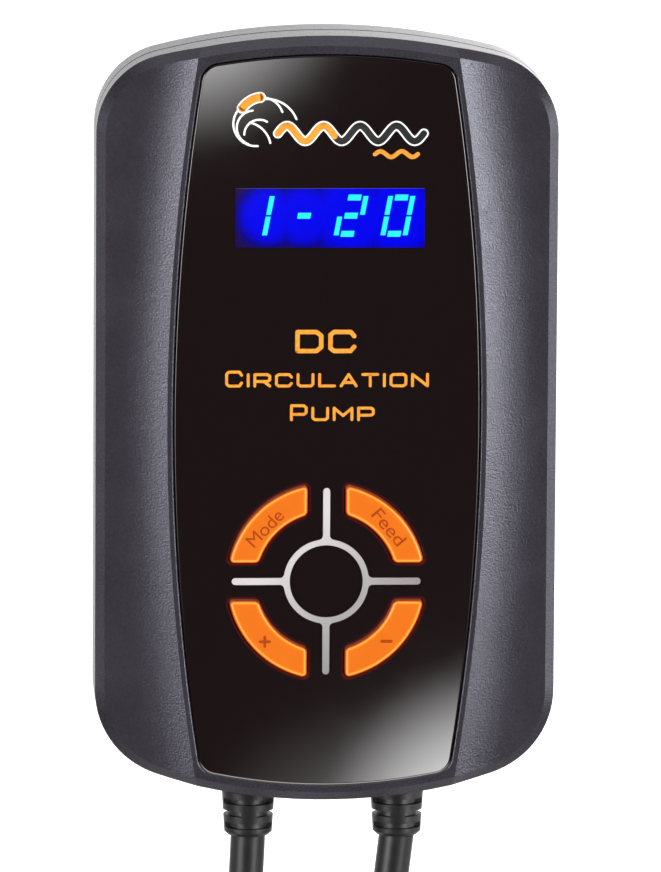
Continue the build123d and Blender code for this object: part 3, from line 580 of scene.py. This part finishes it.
def add_legend(key, word, centre, width, height, turn, material):
    """A word as a thin film facing -Y, brought to a width and a height."""
    name = f"{key}_legend"
    text = bpy.data.curves.new(name, "FONT")
    text.body = word
    source = bpy.data.objects.new(name + "_source", text)
    scene.collection.objects.link(source)
    bpy.context.view_layer.update()
    mesh = bpy.data.meshes.new_from_object(source)
    bpy.data.objects.remove(source)
    bm = bmesh.new()
    bm.from_mesh(mesh)
    xs = [v.co.x for v in bm.verts]
    ys = [v.co.y for v in bm.verts]
    middle = Vector(((min(xs) + max(xs)) / 2, (min(ys) + max(ys)) / 2, 0))
    bmesh.ops.translate(bm, vec=-middle, verts=bm.verts)
    size = (width * MM / (max(xs) - min(xs)), height * MM / (max(ys) - min(ys)), 1)
    bmesh.ops.scale(bm, vec=size, verts=bm.verts)
    bmesh.ops.remove_doubles(bm, verts=bm.verts, dist=SAME_POINT)
    film = bmesh.ops.extrude_face_region(bm, geom=bm.faces[:])["geom"]
    raised = [item for item in film if isinstance(item, bmesh.types.BMVert)]
    bmesh.ops.translate(bm, vec=(0, 0, FILM), verts=raised)
    bmesh.ops.recalc_face_normals(bm, faces=bm.faces)
    place = Matrix.Translation(
        (centre[0] * MM, KEY_FRONT, CENTRE_Z + KEYS_Z + centre[1] * MM))
    place @= Matrix.Rotation(math.radians(90), 4, "X")
    place @= Matrix.Rotation(math.radians(turn), 4, "Z")
    bmesh.ops.transform(bm, matrix=place, verts=bm.verts)
    finish_mesh(name, bm, KEY_BODIES[key], material)


def legend_orange(tree):
    return {"Base Color": speckled(tree, 0.8 * MM, "#7E2E00", "#8C3600"),
            "Roughness": 0.5, "IOR": 1.2,
            "Emission Color": srgb("#8A3000"), "Emission Strength": 0.15}


legend = new_material("recessed legend", legend_orange)
for row in LEGENDS:
    add_legend(*row, legend)

# %% [markdown]
# ## Print on the panel
#
# The wording is set in wide, square capitals with one line width, so each letter is
# drawn as a few strokes in a unit box. A stroke is a run of flat bars with a round
# joint at every corner: a film of ink 0.03 mm thick. The wave sign above the display
# is drawn with the same strokes, in layers: a wide line, and a narrower one on it.
# The plus and the minus on their keys are strokes too, in the legends' colour.

# %% Strokes of ink
INK_STEP = 0.002 * MM
INK_SPECKLE = 0.6 * MM
JOINT_SIDES = 16
LETTERS = {
    "A": (((0, 0), (0.5, 1), (1, 0)), ((0.22, 0.3), (0.78, 0.3))),
    "C": (((1, 0.78), (0.85, 1), (0.15, 1), (0, 0.85),
           (0, 0.15), (0.15, 0), (0.85, 0), (1, 0.22)),),
    "D": (((0, 0), (0, 1), (0.8, 1), (1, 0.8), (1, 0.2), (0.8, 0), (0, 0)),),
    "I": (((0, 0), (0, 1)),),
    "L": (((0, 1), (0, 0), (1, 0)),),
    "M": (((0, 0), (0, 1), (0.5, 0.35), (1, 1), (1, 0)),),
    "N": (((0, 0), (0, 1), (1, 0), (1, 1)),),
    "O": (((0.15, 0), (0.85, 0), (1, 0.15), (1, 0.85),
           (0.85, 1), (0.15, 1), (0, 0.85), (0, 0.15), (0.15, 0)),),
    "P": (((0, 0), (0, 1), (0.85, 1), (1, 0.86), (1, 0.52), (0.85, 0.38), (0, 0.38)),),
    "R": (((0, 0), (0, 1), (0.85, 1), (1, 0.86), (1, 0.54), (0.85, 0.4), (0, 0.4)),
          ((0.6, 0.4), (1, 0))),
    "T": (((0, 1), (1, 1)), ((0.5, 1), (0.5, 0))),
    "U": (((0, 1), (0, 0.15), (0.15, 0), (0.85, 0), (1, 0.15), (1, 1)),),
}
LETTER_WIDTH = {"I": 0.0, "M": 1.2}


def add_stroke(bm, points, width, layer=0, front=PANEL_FRONT):
    """A flat line of one width through points (x, z) on the panel or on a key."""
    y = front - FILM * (layer + 0.5)
    for place, (start, end) in enumerate(zip(points, points[1:])):
        run = Vector(end) - Vector(start)
        bar = bmesh.ops.create_cube(bm, size=1)["verts"]
        bmesh.ops.scale(bm, vec=(run.length, FILM, width), verts=bar)
        turn = Matrix.Rotation(-math.atan2(run.y, run.x), 3, "Y")
        bmesh.ops.rotate(bm, matrix=turn, verts=bar)
        middle = (Vector(start) + Vector(end)) / 2
        step = (1 + place % 3) * INK_STEP
        bmesh.ops.translate(bm, vec=(middle.x, y - step, CENTRE_Z + middle.y), verts=bar)
    for x, z in points:
        joint = bmesh.ops.create_cone(
            bm, cap_ends=True, segments=JOINT_SIDES,
            radius1=width / 2, radius2=width / 2, depth=FILM)["verts"]
        upright = Matrix.Rotation(math.radians(90), 3, "X")
        bmesh.ops.rotate(bm, matrix=upright, verts=joint)
        bmesh.ops.translate(bm, vec=(x, y, CENTRE_Z + z), verts=joint)


def add_words(bm, words, centre, width, heights, stroke, gap):
    """A line of capitals, in millimetres; the first letter has its own height."""
    shares = [LETTER_WIDTH.get(letter, 1.0) for letter in words]
    unit = (width - stroke - gap * (len(words) - 1)) / sum(shares)
    left = centre[0] - (width - stroke) / 2
    low = centre[1] - (heights[0] - stroke) / 2
    for place, (letter, share) in enumerate(zip(words, shares)):
        tall = heights[min(place, 1)] - stroke
        for line in LETTERS[letter]:
            points = [((left + across * share * unit) * MM, (low + up * tall) * MM)
                      for across, up in line]
            add_stroke(bm, points, stroke * MM)
        left += share * unit + gap


def gold_ink_painted_glow(tree):
    # The emission is a painted glow that brightens the ink.
    return {"Base Color": speckled(tree, INK_SPECKLE, "#B86C10", "#D08A24"),
            "Roughness": 0.45, "Metallic": 0.15,
            "Emission Color": srgb("#E0901C"), "Emission Strength": 0.22}


def white_ink_painted_glow(tree):
    # The emission is a painted glow that brightens the ink.
    return {"Base Color": speckled(tree, INK_SPECKLE, "#C4C4C4", "#D8D8D8"),
            "Roughness": 0.4,
            "Emission Color": srgb("#FFFFFF"), "Emission Strength": 0.25}


def black_ink(tree):
    return {"Base Color": speckled(tree, INK_SPECKLE, "#040303", "#080505"),
            "Roughness": 0.12}


gold = new_material("gold screen ink, painted glow", gold_ink_painted_glow)
white = new_material("white screen ink, painted glow", white_ink_painted_glow)
black = new_material("black screen ink", black_ink)

WORDING = (
    # words, centre, width, heights of the first and the other letters, line, gap (mm)
    ("DC", (-0.3, 13.95), 10.6, (4.1, 4.1), 0.78, 1.6),
    ("CIRCULATION", (-0.05, 7.4), 35.3, (2.95, 2.5), 0.5, 1.15),
    ("PUMP", (0.9, 1.5), 14.7, (2.95, 2.5), 0.5, 1.15),
)
wording = bmesh.new()
for row in WORDING:
    add_words(wording, *row)
finish_mesh("print_wording", wording, "root", gold)
print(len(LETTERS), "letter shapes")

SIGN_HALF = 0.82 * MM
SIGN_Z = KEYS_Z - 10.5 * MM
SIGNS = (
    # key, centre x, line width, and each bar's half width, half height and layer
    ("plus", -10.65 * MM, 0.5 * MM, ((SIGN_HALF, 0, 0), (0, SIGN_HALF, 0.2))),
    ("minus", 10.5 * MM, 0.55 * MM, ((SIGN_HALF, 0, 0),)),
)
for key, x, width, bars in SIGNS:
    sign = bmesh.new()
    for across, up, layer in bars:
        ends = [(x - across, SIGN_Z - up), (x + across, SIGN_Z + up)]
        add_stroke(sign, ends, width, layer, KEY_FRONT)
    finish_mesh(f"{key}_legend", sign, KEY_BODIES[key], legend)

# %% [markdown]
# The sign is a curling wave with a row of crests running out of it. It stands for
# moving water and belongs to no maker.


# %% Wave sign
def arc(centre_x, centre_z, radius, start, end, steps=16):
    """Points on part of a circle, in millimetres and degrees."""
    points = []
    for step in range(steps + 1):
        turn = math.radians(start + (end - start) * step / steps)
        x = centre_x + radius * math.cos(turn)
        z = centre_z + radius * math.sin(turn)
        points.append((x * MM, z * MM))
    return points


def crests(left, right, middle, height, length, steps):
    """Points along a row of rounded wave crests, in millimetres."""
    count = round((right - left) / length * steps)
    points = []
    for step in range(count + 1):
        x = left + (right - left) * step / count
        z = middle + height * math.sin(2 * math.pi * (x - left) / length)
        points.append((x * MM, z * MM))
    return points


CURL_LINES = (
    arc(-12.6, 51.9, 3.9, 75, 275), arc(-11.7, 52.6, 3.9, 20, 150),
    arc(-12.9, 51.2, 3.0, 95, 250), arc(-12.0, 50.0, 2.6, 60, 180),
    arc(-10.8, 50.6, 5.6, 22, 96), arc(-14.6, 47.6, 4.6, 12, 78),
)
GOLD_CURL = arc(-11.4, 52.2, 4.3, 96, 146)
RIBBON = crests(-8.8, 16.4, 50.2, 1.35, 6.3, steps=20)
GOLD_RIBBON = RIBBON[:len(RIBBON) * 2 // 5]
RIPPLE = crests(8.0, 15.4, 46.6, 0.5, 3.7, steps=16)
WAVE_SIGN = {
    # piece: its ink, and its lines with their width and layer
    "print_wave_outline": (white, [(line, 0.34 * MM, 0) for line in CURL_LINES] + [
        (GOLD_CURL, 1.9 * MM, 0), (RIBBON, 1.7 * MM, 0)]),
    "print_wave_fill": (black, [(RIBBON, 1.15 * MM, 1)]),
    "print_wave_gold": (gold, [
        (GOLD_CURL, 1.35 * MM, 1), (GOLD_RIBBON, 1.15 * MM, 2), (RIPPLE, 0.75 * MM, 0)]),
}
for name, (ink, lines) in WAVE_SIGN.items():
    strokes = bmesh.new()
    for line, width, layer in lines:
        add_stroke(strokes, line, width, layer)
    finish_mesh(name, strokes, "root", ink)
print(len(RIBBON), "points in the row of crests")

# %% [markdown]
# ## Rubber, metal and the parts inside
#
# Leads and strain reliefs are black PVC: soft, slightly oily, with wide highlights.
# Contacts are gold-plated, screws zinc-plated, and the boards carry green solder
# resist. The inside never shows, but each part still gets its own finish, so that
# the opened model reads as real.


# %% Small finishes
def plain(name, dark, light, roughness, size, metallic=0.0, bump_depth=0.0, ior=1.5):
    """A finish with a little colour variation and a fine bump of one real size."""
    def sockets(tree):
        cloud = object_noise(tree, size * MM, detail=3.0)
        result = {"Base Color": ramp(tree, cloud, [(0.3, dark), (0.7, light)]),
                  "Roughness": roughness, "Metallic": metallic}
        if not metallic:
            result["IOR"] = ior
        if bump_depth:
            result["Normal"] = bumped(tree, cloud, bump_depth * MM)
        return result
    return new_material(name, sockets)


lead_pvc = plain("black PVC jacket", "#100E10", "#181618", 0.42, 1.2,
                 bump_depth=0.02, ior=1.42)
for lead in (pump_lead, supply_lead):
    lead.data.materials.append(lead_pvc)

RELIEF = {"bump_depth": 0.03, "ior": 1.45}
FINE_BUMP = {"bump_depth": 0.02}
METAL = {"metallic": 1.0}
SWITCH_TIPS = tuple(f"{key}_switch_tip" for key in KEY_BODIES)
FINISHES = (
    # name, dark, light, roughness, patch size (mm), other settings, nodes painted
    ("moulded black PVC", "#0B0A0C", "#131214", 0.44, 0.6, RELIEF,
     ("pump_strain_relief", "supply_strain_relief")),
    ("connector PVC", "#1E1D1F", "#28272A", 0.45, 0.5, FINE_BUMP,
     ("pump_connector", "supply_connector")),
    ("black nylon", "#1C1C1D", "#242425", 0.5, 0.5, FINE_BUMP,
     ("pump_coupling_nut", "board_header", "key_switches", *SWITCH_TIPS)),
    ("silicone rubber", "#161616", "#1F1F1F", 0.6, 0.8, {},
     ("cover_seal", "keypad_mat")),
    ("gold-plated brass", "#D9B25A", "#E6C26C", 0.25, 0.6, METAL, ("pump_pins",)),
    ("nickel-plated brass", "#B8B4AC", "#C8C5BE", 0.28, 0.6, METAL,
     ("supply_contacts",)),
    ("zinc-plated steel", "#9A9C9E", "#B4B6B8", 0.35, 0.7, METAL,
     ("cover_screws", "display_board_screws", "power_board_screws")),
    ("black foam tape", "#101010", "#1A1A1A", 0.8, 0.4, {}, ("panel_adhesive",)),
    ("grey reflector", "#6A6A6C", "#767678", 0.5, 0.6, {}, ("display_module",)),
    ("amber epoxy", "#FFC060", "#FFD080", 0.2, 0.5, {}, ("key_lights",)),
    ("green solder resist", "#0E4A22", "#136030", 0.35, 2.5, {},
     ("display_board", "power_board")),
    ("moulded epoxy", "#1A1A1B", "#242425", 0.55, 0.3, {},
     ("microcontroller", "power_transistors")),
    ("shrunk sleeve", "#141A38", "#1B2348", 0.3, 1.5, {}, ("smoothing_capacitors",)),
    ("pressed ferrite", "#3A3A3C", "#4A4A4C", 0.7, 0.4, {}, ("power_inductor",)),
    ("natural nylon", "#D8D6CC", "#E6E4DC", 0.45, 1.0, {}, ("lead_terminals",)),
    ("red silicone", "#8E1410", "#A81C16", 0.45, 1.0, {},
     ("pump_wires", "supply_wires")),
)
for name, dark, light, roughness, size, others, painted in FINISHES:
    material = plain(name, dark, light, roughness, size, **others)
    for node in painted:
        paint(node, material)
print(len(FINISHES), "small finishes")

# %% [markdown]
# ## Studio
#
# The box stands in front of a bright white background, which is what its top edge
# reflects. Two soft boxes light the sloping wings, two weaker ones at the sides light
# the rims, one behind and one overhead light the top wall, and a faint one is below.
# The front stays dark so that the panel stays black. Three small bright cards below
# the lens show as soft reflections in two corners of the panel. All of this is one
# world shader: each box or card is a round, smooth-edged patch in one direction.

# %% World of soft boxes
SOFT_BOXES = (
    # turn right of the front, height, inner and outer half-angle (degrees), strength
    # wings, rims, top wall from behind and above, underside
    (48, 4, 8, 20, 21.5),
    (-48, 4, 8, 20, 17.5),
    (93, 0, 8, 22, 4.5),
    (-93, 0, 8, 22, 1.2),
    (157, 14, 6, 24, 2.2),
    (0, 88, 15, 50, 1.2),
    (0, -75, 20, 60, 0.45),
    # cards reflected in the panel
    (4.02, -11.3, 0.40, 1.14, 17.0),
    (3.3, -11.6, 0.1, 1.25, 3.2),
    (2.13, -6.40, 0.0, 1.09, 21.0),
)
WALL_STARTS, WALL_FULL = 0.2, 0.8
STUDIO_DARK, WALL_BRIGHT = 0.02, 1.2
WHITE = (1, 1, 1, 1)


def span(degrees):
    """Straight distance between two unit directions that are this far apart."""
    return 2 * math.sin(math.radians(degrees) / 2)


def soft_box(tree, direction, turn, height, inner, outer, strength):
    """Brightness of a round patch of the studio, with a smooth edge."""
    turn, height = math.radians(turn), math.radians(height)
    centre = (math.sin(turn) * math.cos(height),
              -math.cos(turn) * math.cos(height), math.sin(height))
    away = apart(tree, direction, centre)
    return between(tree, away, span(outer), span(inner), strength)


world = bpy.data.worlds.new("white studio")
scene.world = world
world.use_nodes = True
tree = world.node_tree
tree.nodes.clear()
direction = add(tree, "ShaderNodeTexCoord").outputs["Generated"]
behind = parts_of(tree, direction)["Y"]
light = rescale(tree, behind, WALL_STARTS, WALL_FULL, STUDIO_DARK, WALL_BRIGHT)
for box in SOFT_BOXES:
    light = calculate(tree, "ADD", light, soft_box(tree, direction, *box))
studio = add(tree, "ShaderNodeBackground", {"Color": WHITE, "Strength": light})
backdrop = add(tree, "ShaderNodeBackground", {"Color": WHITE, "Strength": 1.0})
seen = add(tree, "ShaderNodeLightPath").outputs["Is Camera Ray"]
mixed = add(tree, "ShaderNodeMixShader", {
    0: seen, 1: studio.outputs[0], 2: backdrop.outputs[0]})
add(tree, "ShaderNodeOutputWorld", {"Surface": mixed.outputs[0]})
scene.view_settings.view_transform = "Standard"
print(len(SOFT_BOXES), "soft boxes")

# %% Pale floor, far below the case
FLOOR_RADIUS = 12
FLOOR_DROP = 0.02
floor_mesh = bmesh.new()
bmesh.ops.create_circle(floor_mesh, cap_ends=True, radius=FLOOR_RADIUS, segments=64)
below = (0, 0, cad_box[0][2] - FLOOR_DROP)
bmesh.ops.translate(floor_mesh, vec=below, verts=floor_mesh.verts)
mesh = bpy.data.meshes.new("pale_floor")
floor_mesh.to_mesh(mesh)
floor_mesh.free()
floor = bpy.data.objects.new("pale_floor", mesh)
scene.collection.objects.link(floor)


def pale_floor(tree):
    return {"Base Color": srgb("#F2F2F2"), "Roughness": 0.9,
            "Emission Color": srgb("#FFFFFF"), "Emission Strength": 0.75}


mesh.materials.append(new_material("white studio floor", pale_floor))
floor.visible_glossy = False
